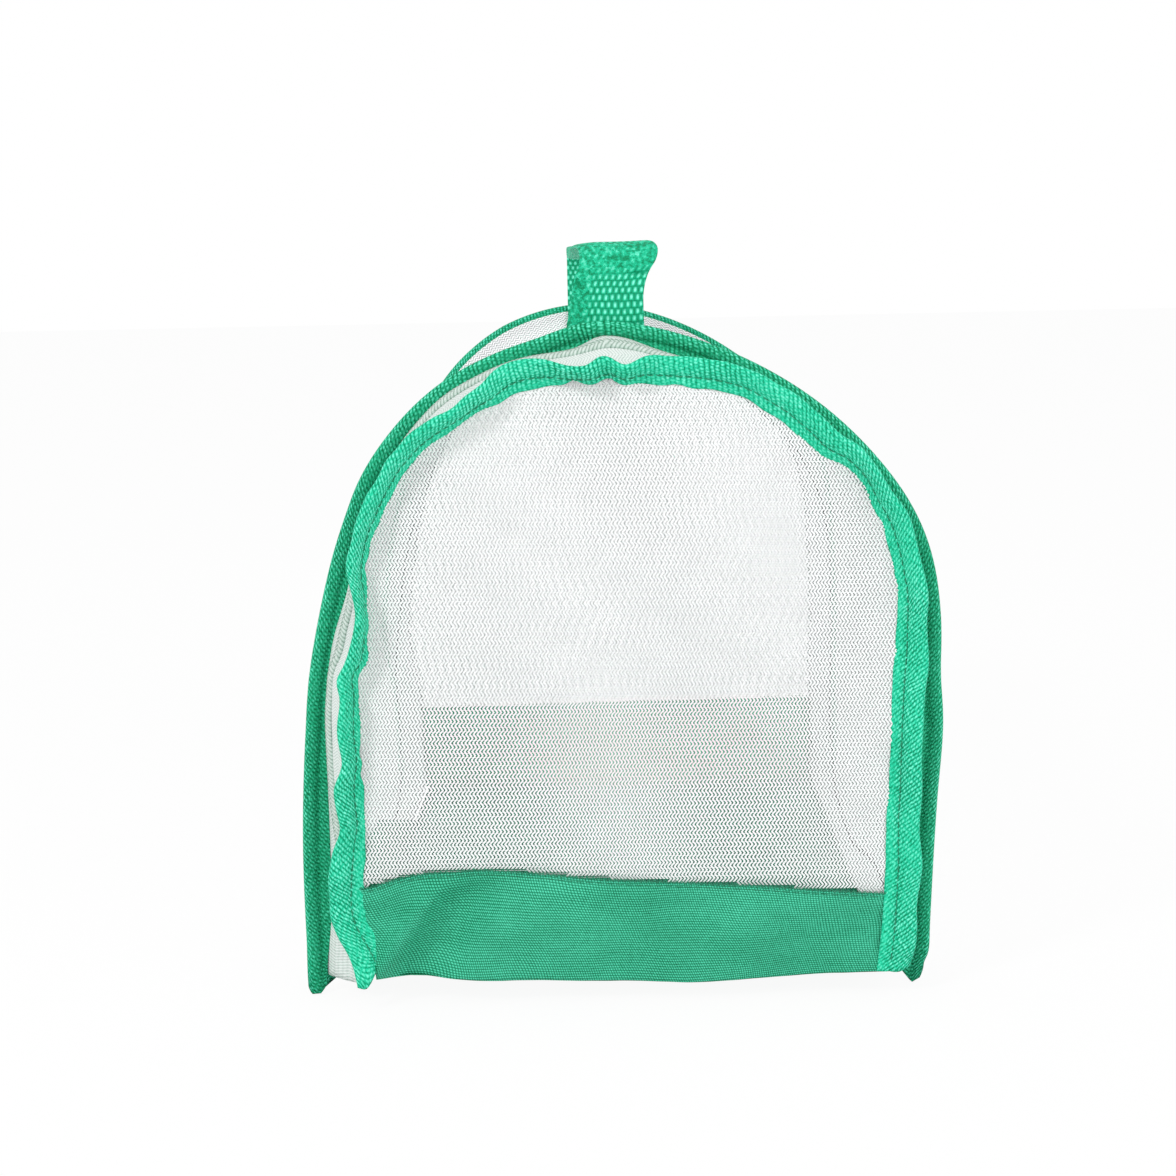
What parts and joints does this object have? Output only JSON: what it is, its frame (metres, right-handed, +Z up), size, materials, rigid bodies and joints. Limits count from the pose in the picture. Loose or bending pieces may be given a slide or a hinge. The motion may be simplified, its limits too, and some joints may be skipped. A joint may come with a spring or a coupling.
{
  "type": "insect cage",
  "caption": "Tunnel-shaped soft insect cage of net on wire hoops, with a zipped net door, a cloth floor and a webbing carrying handle.",
  "frame": {"origin": "on the ground, under the middle of the bounding box", "axes": "+Z up, -Y out of the door, +X to the right of someone who faces the door"},
  "size_m": [0.1622, 0.2396, 0.1905],
  "materials": {
    "binding": "woven tape, matte",
    "cloth": "coated plain-weave cloth, soft sheen",
    "webbing": "coarse webbing, matte",
    "net": "fine knitted net, matte",
    "zipper_tape": "woven tape, matte",
    "zipper_coil": "satin",
    "slider": "satin plated",
    "wire": "drawn wire"
  },
  "bodies": {
    "front_frame": {"front_hoop_wire": "wire", "front_hoop_binding": "binding", "zipper_tape_hoop": "zipper_tape", "zipper_coil_hoop": "zipper_coil", "front_sill": "cloth", "tunnel_net": "net", "floor_panel": "cloth", "handle_strap": "webbing"},
    "rear_frame": {"rear_hoop_wire": "wire", "rear_hoop_binding": "binding", "rear_net": "net", "rear_strip": "cloth"},
    "door": {"door_binding": "binding", "door_net": "net", "door_strip": "cloth", "zipper_tape_door": "zipper_tape", "zipper_coil_door": "zipper_coil"},
    "slider": {"zipper_slider": "slider"},
    "pull": {"zipper_pull": "slider"}
  },
  "joints": [
    {"name": "fold_slide", "type": "slide", "parent": "front_frame", "child": "rear_frame", "axis": [0, -1, 0], "range_m": [0, 0.206], "deforming": ["tunnel_net", "floor_panel", "handle_strap"]},
    {"name": "door_hinge", "type": "hinge", "parent": "front_frame", "child": "door", "pos_m": [0, -0.11843, 0.005], "axis": [1, 0, 0], "range_deg": [0, 90]},
    {"name": "slider_slide", "type": "slide", "parent": "front_frame", "child": "slider", "axis": [0.0252, 0, 0.9997], "range_m": [0, 0.046], "deforming": ["zipper_coil_hoop", "zipper_coil_door"]},
    {"name": "pull_swing", "type": "hinge", "parent": "slider", "child": "pull", "pos_m": [0.07041, -0.11258, 0.01624], "axis": [-0.3956, -0.9184, 0.01], "range_deg": [0, 150]}
  ]
}
